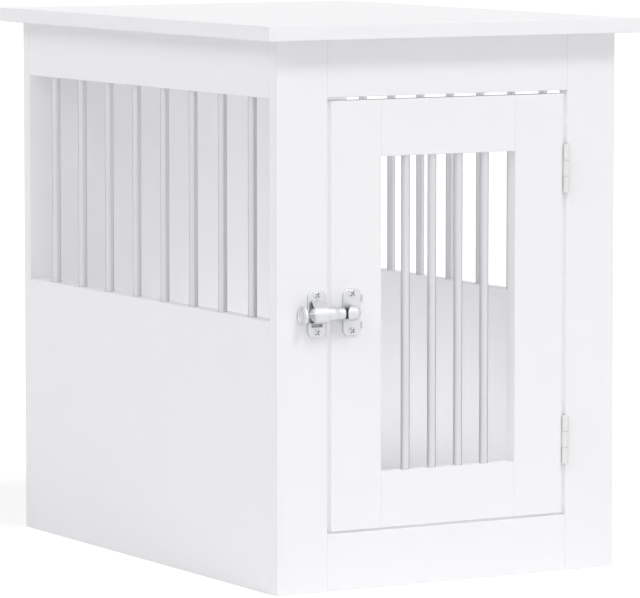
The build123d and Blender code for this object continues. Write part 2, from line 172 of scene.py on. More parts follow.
class CrateLatchShape(bpy.types.PropertyGroup):
    """Slide bolt on the left stile and its keeper on the door."""
    metal: colour("Metal", "Colour of the satin plating", (0.665, 0.672, 0.693))
    dull: colour("Dull metal", "Colour of the streaks", (0.62, 0.627, 0.648))
    # painted shade: colour laid into inner corners and inside the bridge by ambient occlusion
    hollow: colour("Hollow", "Colour in inner corners and inside the bridge", (0.50, 0.507, 0.52))
    # painted dark reflection: colour where the surface is seen at a shallow angle
    rim: colour("Rim", "Colour of the plating seen at a shallow angle", (0.56, 0.567, 0.58))
    # painted shade: the lugs take a darker grey than the keeper because they sit in shade
    lug: colour("Lug", "Colour of the keeper's lugs", (0.58, 0.585, 0.60))
    # painted shade: the slot's walls and floor take this darker colour for the shade inside the slot
    recess: colour("Recess", "Colour inside the slot", (0.55, 0.557, 0.57))
    knob: colour("Knob", "Colour of the turned knob", (0.72, 0.73, 0.755))
    roughness: share("Roughness", "Roughness of the satin plating", 0.52)
    # painted shade: the very dark cap stands in for the deep shade inside the keeper's mouth
    nose: colour("Nose", "Colour of the bolt's nose cap", (0.012, 0.012, 0.013))
    plate_width: length("Plate width", "Width of both plates", 20 * MM)
    plate_height: length("Plate height", "Height of both plates", 47.5 * MM)
    plate_thick: length("Plate thickness", "Thickness of both plates", 2.5 * MM)
    plate_corner: length("Plate corner", "Radius of the plates' corners", 6.5 * MM)
    plate_edge: length("Plate edge", "Rounding along the plates' front edge", 1.0 * MM)
    bridge_width: length("Bridge width", "Width of the bridge", 12.5 * MM)
    bridge_above: length("Bridge above", "Bolt's axis to the bridge's upper foot", 14.3 * MM)
    bridge_below: length("Bridge below", "Bolt's axis to the bridge's lower foot", 10 * MM)
    bridge_lean: length("Bridge lean", "How far the bridge's left rim leans out at its crest", 4.6 * MM)
    bridge_wall: length("Bridge wall", "Thickness of the bridge", 1.5 * MM)
    bridge_edge: length("Bridge edge", "Rounding of the bridge's rims", 0.5 * MM)
    bridge_corner: length("Bridge corner", "Rounding of the bridge's outline at its feet", 2.2 * MM)
    slot: length("Slot", "Height of the slot in the plate below the bridge", 3.2 * MM)
    slot_floor: length("Slot floor", "Thickness of the dark floor of the slot", 0.4 * MM)
    bolt_tip: length("Bolt tip", "Diameter of the thinner end", 12 * MM)
    bolt_taper: length("Bolt taper", "Length of the cone between both diameters", 6 * MM)
    bolt_blend: length("Bolt blend", "Radius of the soft turns at both ends of the cone", 4 * MM)
    bolt_tail: length("Bolt tail", "Rounding of the bolt's tail", 4.5 * MM)
    bolt_shoulder: length("Bolt shoulder", "Length of the tail's shoulder on the knob's neck", 1.5 * MM)
    bolt_play: length("Play", "Clearance round the bolt", 0.25 * MM)
    nose_pin: length("Nose pin", "Diameter of the pin that carries the nose cap", 6 * MM)
    nose_fit: length("Nose fit", "Clearance between the cap and its pin", 0.05 * MM)
    nose_set: length("Nose set", "How far the cap starts behind its full length", 1.6 * MM)
    nose_round: length("Nose rounding", "Rounding of the cap's end", 4.6 * MM)
    hood_wall: length("Hood wall", "Thickness of the hood", 1.5 * MM)
    hood_mouth: length("Hood mouth", "Foot of the mouth from the plate's left edge", 12.1 * MM)
    hood_lean: length("Hood lean", "How far the lip leans out over the bolt", 15 * MM)
    hood_end: length("Hood end", "Hood to the plate's right edge", 3.3 * MM)
    hood_dome: length("Hood dome", "Length of the hood's rounded end", 9 * MM)
    lug_width: length("Lug width", "How far a lug stands out beside the plate", 2.6 * MM)
    lug_height: length("Lug height", "Height of a lug", 6.5 * MM)
    lug_thick: length("Lug thickness", "Thickness of a lug", 1.6 * MM)
    lug_offset: length("Lug offset", "Middle of a lug from the bolt's axis", 13.6 * MM)
    knob_thick: length("Knob thickness", "Thickness of the disc's rim", 2.2 * MM)
    knob_cone: length("Knob cone", "Length of the cone behind the disc", 5.5 * MM)
    knob_edge: length("Knob edge", "Rounding of the disc's rim", 0.8 * MM)
    knob_neck: length("Knob neck", "Diameter of the neck", 6.4 * MM)
    knob_waist: length("Knob waist", "Radius of the turn between the cone and the neck", 3 * MM)
    knob_stud: length("Knob stud", "Diameter of the stud in the bolt", 4 * MM)
    knob_ring: length("Knob ring", "Depth of the rings turned into the disc's face", 0.6 * MM)
    facets: count("Facets", "Facets round the bolt", 72)


class CrateScrewShape(bpy.types.PropertyGroup):
    """Screws of the latch plates."""
    metal: colour("Metal", "Colour of the plated screws", (0.68, 0.685, 0.705))
    dull: colour("Dull metal", "Colour of the streaks", (0.60, 0.605, 0.625))
    # painted shade: colour laid into inner corners by ambient occlusion
    hollow: colour("Hollow", "Colour in inner corners", (0.30, 0.305, 0.32))
    # painted dark reflection: colour where the surface is seen at a shallow angle
    rim: colour("Rim", "Colour of the plating seen at a shallow angle", (0.36, 0.365, 0.38))
    # painted shade: the very dark colour inside the crossed recess stands for the shade there
    recess: colour("Recess", "Colour inside the crossed recess", (0.05, 0.05, 0.052))
    roughness: share("Roughness", "Roughness of the screws", 0.4)
    head: length("Head", "Diameter of the head", 7.4 * MM)
    shank: length("Shank", "Diameter of the shank", 3.2 * MM)
    point: length("Point", "Length of the point", 3 * MM)
    cross: length("Cross", "Length of the crossed recess", 6.2 * MM)
    cross_arm: length("Cross arm", "Width of the recess's arms", 1.15 * MM)
    cross_depth: length("Cross depth", "Depth of the recess", 1.6 * MM)
    facets: count("Facets", "Facets round the head", 40)


class CrateStudio(bpy.types.PropertyGroup):
    """Floor, light and camera."""
    sky: strength("Sky", "Strength of the even light from all round", 0.44)
    key: strength("Key", "Strength of the light from the upper front", 1.02)
    side: strength("Side", "Strength of the broad light from the left", 1.0)
    low: strength("Low", "Strength of the broad light from low in front", 0.35)
    cabin_floor: power("Cabin floor", "Power of the light that rises from the cabin's floor", 0.34)
    cabin_ceiling: power("Cabin ceiling", "Power of the light that falls from the cabin's ceiling", 0.11)
    cabin_back: power("Cabin back", "Power of the light on the right half of the cabin's back", 0.045)
    gap: strength("Gap", "Power, per metre, of the lights in the gaps beside the door", 0.0145)
    gap_under: strength("Gap under", "Power, per metre, of the light in the gap under the door", 0.012)
    floor_colour: colour("Floor", "Colour of the floor", (0.86, 0.86, 0.86))
    floor_glow: share("Floor glow", "White that the camera sees on the floor besides its lit colour", 0.36)
    floor_size: length("Floor size", "Side of the floor", 60.0)
    camera_place: FloatVectorProperty(
        name="Camera place", description="Where the camera stands", default=(-2.52147, -4.3769, 0.75922),
        subtype="TRANSLATION")
    camera_turn: angle("Camera turn", "Direction of view, from +Y towards +X", 30.057)
    camera_tilt: angle("Camera tilt", "How far the camera looks down", 5.586)
    camera_lens: FloatProperty(
        name="Lens", description="Focal length on a 36 mm sensor", default=268.11, min=1.0, unit="CAMERA")


# ---- meshes ----
def aimed(foot, direction):
    """Placement of a shape that was made along Z, so that it starts at foot and runs along direction."""
    turn = Vector(direction).to_track_quat("Z", "Y").to_matrix().to_4x4()
    return Matrix.Translation(foot) @ turn


def ring(bm, points):
    return [bm.verts.new(p) for p in points]


def skin(bm, rings, closed=True):
    """Joins rings of vertices into a surface; closed rings run back to their first vertex."""
    for low, high in zip(rings, rings[1:]):
        size = max(len(low), len(high))
        for k in range(size if closed else size - 1):
            n = (k + 1) % size
            corners = [low[k % len(low)], low[n % len(low)], high[n % len(high)], high[k % len(high)]]
            face = list(dict.fromkeys(corners))
            if len(face) > 2:
                bm.faces.new(face)


def lathe(profile, facets, hollow=False):
    """Turned shape from (radius, height) points: solid from axis to axis, or a hollow ring."""
    bm = bmesh.new()
    rings = []
    for radius, height in profile:
        turns = [2 * pi * k / facets for k in range(facets)] if radius > 0 else [0.0]
        rings.append(ring(bm, [(radius * cos(a), radius * sin(a), height) for a in turns]))
    skin(bm, rings + rings[:1] if hollow else rings)
    return bm


def stack(sections):
    """Shape through outlines with the same number of points, capped at both ends."""
    bm = bmesh.new()
    rings = [ring(bm, section) for section in sections]
    skin(bm, rings)
    for end in (rings[0], rings[-1]):
        if len(end) > 2:
            bm.faces.new(end)
    return bm


def rounded(points, radii, steps=5):
    """Profile with an arc at each inner corner."""
    made = [Vector(points[0])]
    for before, corner, after, radius in zip(points, points[1:], points[2:], radii):
        before, corner, after = Vector(before), Vector(corner), Vector(after)
        one, two = (before - corner).normalized(), (after - corner).normalized()
        half = one.angle(two) / 2
        if radius <= 0 or half > radians(89):
            made.append(corner)
            continue
        reach = radius / tan(half)
        centre = corner + (one + two).normalized() * (radius / sin(half))
        start, end = corner + one * reach - centre, corner + two * reach - centre
        turn = atan2(start.x * end.y - start.y * end.x, start.dot(end))
        for k in range(steps + 1):
            made.append(centre + Matrix.Rotation(turn * k / steps, 2) @ start)
    made.append(Vector(points[-1]))
    return [tuple(p) for p in made]


def rounded_rectangle(width, height, radius, steps=8):
    """Outline round the origin, with the same number of points for any size."""
    points = []
    for k, (sx, sy) in enumerate(((1, 1), (-1, 1), (-1, -1), (1, -1))):
        cx, cy = sx * (width / 2 - radius), sy * (height / 2 - radius)
        for i in range(steps + 1):
            a = pi / 2 * (k + i / steps)
            points.append((cx + radius * cos(a), cy + radius * sin(a)))
    return points


def slab_with_soft_rim(width, height, thick, corner, edge, steps=4):
    """Plate on the XY plane with a rounded front rim."""
    sections = [[(x, y, 0) for x, y in rounded_rectangle(width, height, corner)]]
    for k in range(steps + 1):
        a = pi / 2 * k / steps
        inset = edge * (1 - cos(a))
        z = thick - edge + edge * sin(a)
        outline = rounded_rectangle(width - 2 * inset, height - 2 * inset, corner - inset)
        sections.append([(x, y, z) for x, y in outline])
    return stack(sections)


def cross_cutter(size):
    """Crossed recess that narrows to its bottom, to cut down from the XY plane."""
    far, near = size.cross / 2, size.cross_arm / 2
    outline, corner = [], [(far, near), (near, near), (near, far)]
    for _ in range(4):
        outline += corner
        corner = [(-y, x) for x, y in corner]
    proud, bottom_share = size.cross_depth / 2, 0.3
    levels = ((proud, 1.0), (0.0, 1.0), (-size.cross_depth, bottom_share))
    bm = stack([[(x * s, y * s, z) for x, y in outline] for z, s in levels])
    bmesh.ops.triangulate(bm, faces=[f for f in bm.faces if len(f.verts) > 4])
    return bm


def cube(low, high):
    """Box between two corners, as a cutter."""
    corners = [(low[0], low[1]), (high[0], low[1]), (high[0], high[1]), (low[0], high[1])]
    return stack([[(x, y, z) for x, y in corners] for z in (low[2], high[2])])


def shape(name, bm, placement=None):
    """Object from a bmesh, set in its place by its vertices."""
    if placement is not None:
        bm.transform(placement)
    bmesh.ops.recalc_face_normals(bm, faces=bm.faces)
    mesh = bpy.data.meshes.new(name)
    bm.to_mesh(mesh)
    bm.free()
    made = bpy.data.objects.new(name, mesh)
    bpy.context.scene.collection.objects.link(made)
    return made


def combine(base, others, operation):
    """Base with the other shapes joined to it or cut from it; they pass on their finish and are used up."""
    volume = closed_volume(base)
    for other in others:
        if base.data.materials and not other.data.materials:
            other.data.materials.append(base.data.materials[0])
        step = base.modifiers.new("Combine", "BOOLEAN")
        step.operation = operation
        step.solver = "EXACT"
        step.material_mode = "TRANSFER"
        step.object = other
        graph = bpy.context.evaluated_depsgraph_get()
        mesh = bpy.data.meshes.new_from_object(base.evaluated_get(graph))
        base.modifiers.clear()
        base.data = mesh
        changed = closed_volume(base)
        if (changed > volume) != (operation == "UNION"):
            raise RuntimeError(f"{other.name} left {base.name} as it was")
        volume = changed
        bpy.data.objects.remove(other)
    return base


def closed_volume(piece):
    """Volume of a piece; raises an error unless it is one or more closed solids."""
    bm = bmesh.new()
    bm.from_mesh(piece.data)
    open_edges = sum(not edge.is_manifold for edge in bm.edges)
    volume = bm.calc_volume()
    bm.free()
    if open_edges or volume <= 0:
        raise RuntimeError(f"{piece.name} came out empty or with {open_edges} open edges")
    return volume


def finish_piece(piece, material, body, replaced=()):
    """Shades the piece smooth with crisp edges, gives it its finish and joins it to its body."""
    mesh = piece.data
    mesh.name = piece.name
    if not mesh.materials:
        mesh.materials.append(material)
    mesh.shade_smooth()
    mesh.set_sharp_from_angle(angle=CRISP_ANGLE)
    weighted = piece.modifiers.new("Even shading", "WEIGHTED_NORMAL")
    weighted.keep_sharp = True
    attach(piece, body)
    if replaced:
        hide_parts(*replaced)
    return piece


# ---- shader nodes ----
def place(tree, kind, inputs=None, **settings):
    """New node; an input that is given as a socket is linked, and any other value is set."""
    made = tree.nodes.new(kind)
    for name, value in settings.items():
        setattr(made, name, value)
    for name, value in (inputs or {}).items():
        if isinstance(value, bpy.types.NodeSocket):
            tree.links.new(value, made.inputs[name])
        else:
            made.inputs[name].default_value = value
    return made


def effect(name, inputs, outputs):
    """Empty node group with named float, vector and colour sockets."""
    tree = bpy.data.node_groups.new(name, "ShaderNodeTree")
    for label, kind, default in inputs:
        socket = tree.interface.new_socket(name=label, in_out="INPUT", socket_type=kind)
        socket.default_value = default
    for label, kind in outputs:
        tree.interface.new_socket(name=label, in_out="OUTPUT", socket_type=kind)
    return tree, tree.nodes.new("NodeGroupInput"), tree.nodes.new("NodeGroupOutput")


FLOAT, VECTOR = "NodeSocketFloat", "NodeSocketVector"
EVEN = (1.0, 1.0, 1.0)


def soft_edges():
    """Effect: normals rounded at edges, and a mask of where the edges are."""
    tree, given, result = effect(
        "Soft edges", [("Radius", FLOAT, 0.5 * MM)], [("Normal", VECTOR), ("Edge", FLOAT)])
    bevel = place(tree, "ShaderNodeBevel", {"Radius": given.outputs["Radius"]}, samples=6)
    surface = place(tree, "ShaderNodeNewGeometry")
    match = place(tree, "ShaderNodeVectorMath", {0: bevel.outputs["Normal"], 1: surface.outputs["Normal"]},
                  operation="DOT_PRODUCT")
    tree.links.new(bevel.outputs["Normal"], result.inputs["Normal"])
    tree.links.new(mask(tree, match.outputs["Value"], 0.995, 0.8), result.inputs["Edge"])
    return tree


def speckle():
    """Effect: patches of one size and finer ones inside them, from 0 to 1."""
    tree, given, result = effect(
        "Speckle", [("Size", FLOAT, 10 * MM), ("Stretch", VECTOR, EVEN)],
        [("Coarse", FLOAT), ("Fine", FLOAT)])
    where = place(tree, "ShaderNodeTexCoord")
    drawn = place(tree, "ShaderNodeVectorMath", {0: where.outputs["Object"], 1: given.outputs["Stretch"]},
                  operation="MULTIPLY")
    scale = place(tree, "ShaderNodeMath", {0: 1.0, 1: given.outputs["Size"]}, operation="DIVIDE")
    finer = place(tree, "ShaderNodeMath", {0: scale.outputs[0], 1: 7.0}, operation="MULTIPLY")
    for label, size in (("Coarse", scale), ("Fine", finer)):
        noise = place(tree, "ShaderNodeTexNoise", {
            "Vector": drawn.outputs[0], "Scale": size.outputs[0], "Detail": 3.0, "Roughness": 0.55})
        tree.links.new(noise.outputs["Fac"], result.inputs[label])
    return tree


def recess():
    """Effect: mask of inner corners from ambient occlusion, where painted shade is laid."""
    tree, given, result = effect("Recess", [("Reach", FLOAT, 2 * MM)], [("Mask", FLOAT)])
    occlusion = place(tree, "ShaderNodeAmbientOcclusion", {"Distance": given.outputs["Reach"]}, samples=6)
    tree.links.new(mask(tree, occlusion.outputs["AO"], 0.6, 0.12), result.inputs["Mask"])
    return tree


EFFECTS = {}


def group(tree, maker, inputs):
    """The shared effect that maker builds, in this material with its own values."""
    name = maker.__name__
    if name not in EFFECTS:
        EFFECTS[name] = maker()
    made = place(tree, "ShaderNodeGroup", node_tree=EFFECTS[name])
    for label, value in inputs.items():
        made.inputs[label].default_value = value
    return made


def rgba(value):
    return (*value, 1.0)


def mix_colours(tree, factor, one, two):
    """Colour between two, by a factor socket."""
    mixed = tree.nodes.new("ShaderNodeMix")
    mixed.data_type = "RGBA"
    tree.links.new(factor, mixed.inputs[0])
    for socket, value in ((mixed.inputs[6], one), (mixed.inputs[7], two)):
        if isinstance(value, bpy.types.NodeSocket):
            tree.links.new(value, socket)
        else:
            socket.default_value = rgba(value)
    return mixed.outputs[2]


def spread(tree, value, low, high):
    """Value from 0 to 1 turned into one from low to high."""
    made = place(tree, "ShaderNodeMapRange", {"Value": value, "To Min": low, "To Max": high})
    return made.outputs["Result"]


def mask(tree, value, start, end):
    """Mask that grows from 0 to 1 while the value goes from start to end."""
    made = place(tree, "ShaderNodeMapRange", {"Value": value, "From Min": start, "From Max": end})
    return made.outputs["Result"]


def relief(tree, height, edges, depth):
    """Normal with a fine relief of this depth on top of the softened edges."""
    bump = place(tree, "ShaderNodeBump", {
        "Height": height, "Normal": edges.outputs["Normal"], "Distance": depth})
    return bump.outputs[0]


def new_material(name):
    made = bpy.data.materials.new(name)
    made.use_nodes = True
    made.node_tree.nodes.clear()
    return made, made.node_tree


def put_out(tree, shader):
    output = place(tree, "ShaderNodeOutputMaterial")
    tree.links.new(shader.outputs[0], output.inputs["Surface"])


def surfaced(material, inputs):
    """The material, with its shader."""
    tree = material.node_tree
    put_out(tree, place(tree, "ShaderNodeBsdfPrincipled", inputs))
    return material


def coated_board(name, finish):
    """White coating on fibreboard: faint patches, a sprayed skin and slightly worn arrises."""
    material, tree = new_material(name)
    rough = finish.roughness
    patches = group(tree, speckle, {"Size": finish.patch})
    peel = group(tree, speckle, {"Size": finish.peel})
    edges = group(tree, soft_edges, {"Radius": finish.arris})
    tone = mix_colours(tree, patches.outputs["Coarse"], finish.coating, finish.shade)
    tone = mix_colours(tree, edges.outputs["Edge"], tone, finish.worn)
    return surfaced(material, {
        "Base Color": tone,
        "Roughness": spread(tree, patches.outputs["Fine"], rough - 0.05, rough + 0.07),
        "Normal": relief(tree, peel.outputs["Coarse"], edges, finish.peel_depth),
        "IOR": 1.48,
    })


def bare_batten(name, finish):
    """Planed softwood with its grain along the batten."""
    material, tree = new_material(name)
    grain = group(tree, speckle, {"Size": 4 * MM, "Stretch": (1.0, 0.04, 1.0)})
    edges = group(tree, soft_edges, {"Radius": finish.arris})
    return surfaced(material, {
        "Base Color": mix_colours(tree, grain.outputs["Coarse"], finish.batten, finish.batten_dark),
        "Roughness": spread(tree, grain.outputs["Fine"], 0.55, 0.75),
        "Normal": relief(tree, grain.outputs["Fine"], edges, 0.05 * MM),
    })


def plated_metal(name, finish, grain, depth, edge, reach, tones=None, stretch=EVEN, metallic=1.0):
    """Plated metal: streaks, painted shade in inner corners, soft edges, and a painted dark reflection where
    it is seen at a shallow angle.
    """
    metal, dull = tones or (finish.metal, finish.dull)
    material, tree = new_material(name)
    streaks = group(tree, speckle, {"Size": grain, "Stretch": stretch})
    edges = group(tree, soft_edges, {"Radius": edge})
    hollow_shade = group(tree, recess, {"Reach": reach})
    painted_rim_reflection = place(tree, "ShaderNodeLayerWeight", {"Blend": 0.5})
    tone = mix_colours(tree, streaks.outputs["Fine"], metal, dull)
    # painted shade: the hollow colour in inner corners, by ambient occlusion
    tone = mix_colours(tree, hollow_shade.outputs["Mask"], tone, finish.hollow)
    # painted dark reflection: the rim colour where the surface is seen at a shallow angle
    tone = mix_colours(tree, mask(tree, painted_rim_reflection.outputs["Facing"], 0.4, 0.85), tone, finish.rim)
    rough = finish.roughness
    return surfaced(material, {
        "Base Color": tone,
        "Metallic": metallic,
        "Roughness": spread(tree, streaks.outputs["Coarse"], rough - 0.05, rough + 0.08),
        "Normal": relief(tree, streaks.outputs["Coarse"], edges, depth),
    })


def plain_grained(name, tone, grain, depth):
    """One tone with a fine grain, paler along its edges: the very dark nose cap and the painted shade of the
    lugs, the slot and the screws' crossed recesses.
    """
    material, tree = new_material(name)
    grains = group(tree, speckle, {"Size": grain})
    edges = group(tree, soft_edges, {"Radius": 0.3 * MM})
    paler = [3 * c for c in tone]
    return surfaced(material, {
        "Base Color": mix_colours(tree, edges.outputs["Edge"], tone, paler),
        "Roughness": spread(tree, grains.outputs["Coarse"], 0.5, 0.65),
        "Normal": relief(tree, grains.outputs["Fine"], edges, depth),
    })


# ---- operators, one for each group of pieces ----
def body_of(node):
    """Body that carries a CAD node."""
    return frame["nodes"][node].parent.name.split(":")[1]


def nodes_of_slot(slot):
    return [row["node"] for row in frame["record"]["subparts"] if row["material_slot"] == slot]


def latch_axis():
    """Depth and height of the bolt's axis, and its radius."""
    low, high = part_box("latch_bolt")
    return (low.y + high.y) / 2, (low.z + high.z) / 2, (high.z - low.z) / 2


def on_bolt_axis(x):
    """Placement of a turned piece that starts at x and runs to the right along the bolt's axis."""
    axis_y, axis_z, _ = latch_axis()
    return aimed((x, axis_y, axis_z), RIGHT)


def board_face():
    """Front face of the frame, which the latch plates lie on."""
    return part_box("front_left_stile")[0].y


def centre_of(node):
    low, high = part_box(node)
    return (low + high) / 2


class CRATE_OT_boards(bpy.types.Operator):
    """Finish the boards and battens, whose shapes are right as they are"""
    bl_idname = "crate.boards"
    bl_label = "Boards"

    def execute(self, context):
        finish = context.scene.crate_boards
        materials = {
            "white_board": coated_board("White coating", finish),
            "top_board": coated_board("White table top", finish),
            "batten_wood": bare_batten("Bare batten", finish),
        }
        for slot, material in materials.items():
            for node in nodes_of_slot(slot):
                mesh = frame["nodes"][node].data
                mesh.materials.clear()
                mesh.materials.append(material)
        return {"FINISHED"}


class CRATE_OT_bars(bpy.types.Operator):
    """Build the smooth round bars of both sides and of the door"""
    bl_idname = "crate.bars"
    bl_label = "Bars"

    def execute(self, context):
        size = context.scene.crate_bars
        metal = plated_metal(
            "Plated bar", size, grain=1.2 * MM, depth=0.002 * MM, edge=0.3 * MM, reach=2 * MM,
            stretch=(1.0, 1.0, 0.02), metallic=size.metallic)
        for node in nodes_of_slot("bar_metal"):
            low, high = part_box(node)
            radius = (high.x - low.x) / 2
            tall = high.z - low.z
            profile = rounded([(0, 0), (radius, 0), (radius, tall), (0, tall)], [size.end_bevel] * 2)
            foot = Matrix.Translation((centre_of(node).x, centre_of(node).y, low.z))
            piece = shape(node.replace("_bar_", "_rod_"), lathe(profile, size.facets), foot)
            finish_piece(piece, metal, body_of(node), [node])
        return {"FINISHED"}


class CRATE_OT_hinges(bpy.types.Operator):
    """Build the hinge leaves with their countersunk holes, the pins and the hinge screws"""
    bl_idname = "crate.hinges"
    bl_label = "Hinges"

    def execute(self, context):
        size = context.scene.crate_hinges
        metal = plated_metal(
            "Plated hinge", size, grain=0.8 * MM, depth=0.004 * MM, edge=0.25 * MM, reach=1.5 * MM)
        axis = Vector(frame["joints"][0]["pos_m"])
        for level in ("upper", "lower"):
            for side, way in (("frame", 1), ("door", -1)):
                self.leaf(size, metal, axis, level, side, way)
            self.pin(size, metal, axis, level)
        return {"FINISHED"}

    def leaf(self, size, metal, axis, level, side, way):
        """Leaf on the edge of its board, with its knuckles and two countersunk screws."""
        node = f"{level}_hinge_{side}_leaf"
        low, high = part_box(node)
        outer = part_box("front_right_stile")[0].x if way > 0 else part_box("door_right_stile")[1].x
        inner = outer - way * size.leaf_thick
        face = board_face()
        tall, mid, deep = high.z - low.z, (low.z + high.z) / 2, high.y - face
        margin, rim = size.leaf_margin, size.leaf_thick * 0.2
        blade = slab_with_soft_rim(deep - margin, tall, size.leaf_thick, size.leaf_corner, rim)
        # the blade lies on the board's edge, with its soft rim towards the other leaf
        turn = Matrix(((0, 0, -way, 0), (1, 0, 0, 0), (0, 1, 0, 0), (0, 0, 0, 1)))
        spot = Matrix.Translation((outer, face + (deep + margin) / 2, mid))
        leaf = shape(node.replace("_leaf", "_plate"), blade, spot @ turn)
        tongue_end = face + margin + size.leaf_corner
        leaf = combine(leaf, self.knuckles(size, axis, low, tall, outer, way, tongue_end), "UNION")
        row = face + deep * size.screw_row
        spots = [Vector((inner, row, mid + s * size.screw_spread / 2)) for s in (-1, 1)]
        leaf = combine(leaf, [self.sink(size, spot, RIGHT * way) for spot in spots], "DIFFERENCE")
        finish_piece(leaf, metal, body_of(node), [node])
        for k, spot in enumerate(spots):
            self.screw(size, metal, node, k, spot, RIGHT * way)

    def knuckles(self, size, axis, low, tall, outer, way, tongue_end):
        """Knuckles of a leaf, two on the frame and one on the door, each with its tongue to the leaf."""
        third, gap = tall / 3, size.knuckle_gap / 2
        if way > 0:
            spans = [(0, third - gap), (2 * third + gap, tall)]
        else:
            spans = [(third + gap, 2 * third - gap)]
        barrel, bore, edge = axis.y - low.y, size.bore / 2, size.knuckle_edge
        soft = edge * 0.3
        x0, x1 = sorted((outer - way * size.leaf_thick, outer))
        root = axis.y + sqrt(barrel ** 2 - (outer - axis.x) ** 2) - size.leaf_thick * 0.6
        made = []
        for z0, z1 in spans:
            lower = [(bore, z0), (barrel - edge, z0), (barrel - soft, z0 + soft), (barrel, z0 + edge)]
            upper = [(barrel, z1 - edge), (barrel - soft, z1 - soft), (barrel - edge, z1), (bore, z1)]
            turned = lathe(lower + upper, size.facets, hollow=True)
            made.append(shape("knuckle", turned, Matrix.Translation((axis.x, axis.y, low.z))))
            made.append(shape("tongue", cube((x0, root, low.z + z0), (x1, tongue_end, low.z + z1))))
        return made

    def sink(self, size, spot, way):
        """Cutter for a countersunk hole through the leaf."""
        head, shank = size.screw_head / 2 + 0.15 * MM, size.screw_shank / 2 + 0.1 * MM
        start, depth = -0.2 * MM, size.screw_sink
        cone = [(0, start), (head, start), (head, 0), (shank, depth), (shank, depth * 2), (0, depth * 2)]
        return shape("sink", lathe(cone, size.facets), aimed(spot, way))

    def screw(self, size, metal, node, number, spot, way):
        """Countersunk screw, flush with its leaf."""
        head, shank, tip = size.screw_head / 2, size.screw_shank / 2, size.screw_length
        rim = [(0, 0), (head - 0.1 * MM, 0), (head, 0.12 * MM)]
        profile = [*rim, (shank, size.screw_sink), (shank, tip - size.screw_point), (0, tip)]
        name = f"{node.replace('_leaf', '')}_screw_{number + 1}"
        screw = shape(name, lathe(profile, size.facets), aimed(spot, way))
        # the driver leaves each cross at its own angle
        turn = Matrix.Rotation(0.5 + number * 1.1, 4, "Z")
        cutter = shape("cross", cross_cutter(size), aimed(spot, -way) @ turn)
        screw = combine(screw, [cutter], "DIFFERENCE")
        finish_piece(screw, metal, body_of(node))

    def pin(self, size, metal, axis, level):
        """Pin with a domed head at each end."""
        node = f"{level}_hinge_pin"
        low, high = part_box(node)
        leaf_low, leaf_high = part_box(f"{level}_hinge_frame_leaf")
        shank, head = size.pin / 2, size.pin_head / 2
        z0, z1, b0, b1 = low.z, high.z, leaf_low.z, leaf_high.z
        dome = [(head * cos(a), b1 + (z1 - b1) * sin(a)) for a in (0, 0.35, 0.7, 1.05, 1.35)]
        foot = [(r, b0 - (z - b1)) for r, z in reversed(dome)]
        profile = [(0, z0), *foot, (shank, b0), (shank, b1), *dome, (0, z1)]
        turned = lathe(profile, size.facets)
        pin = shape(node.replace("_pin", "_rivet"), turned, Matrix.Translation((axis.x, axis.y, 0)))
        finish_piece(pin, metal, body_of(node), [node])


def latch_plate(size, name, x):
    """Plate of the latch on the front face, with its soft rim to the front."""
    plate = slab_with_soft_rim(
        size.plate_width, size.plate_height, size.plate_thick, size.plate_corner, size.plate_edge)
    return shape(name, plate, aimed((x, board_face(), latch_axis()[1]), FORWARD))


def satin_metal(size):
    """Finish of the latch's pressed plates, made once."""
    name = "Satin plated latch"
    if name not in bpy.data.materials:
        plated_metal(name, size, grain=1.5 * MM, depth=0.02 * MM, edge=0.45 * MM, reach=3 * MM)
    return bpy.data.materials[name]


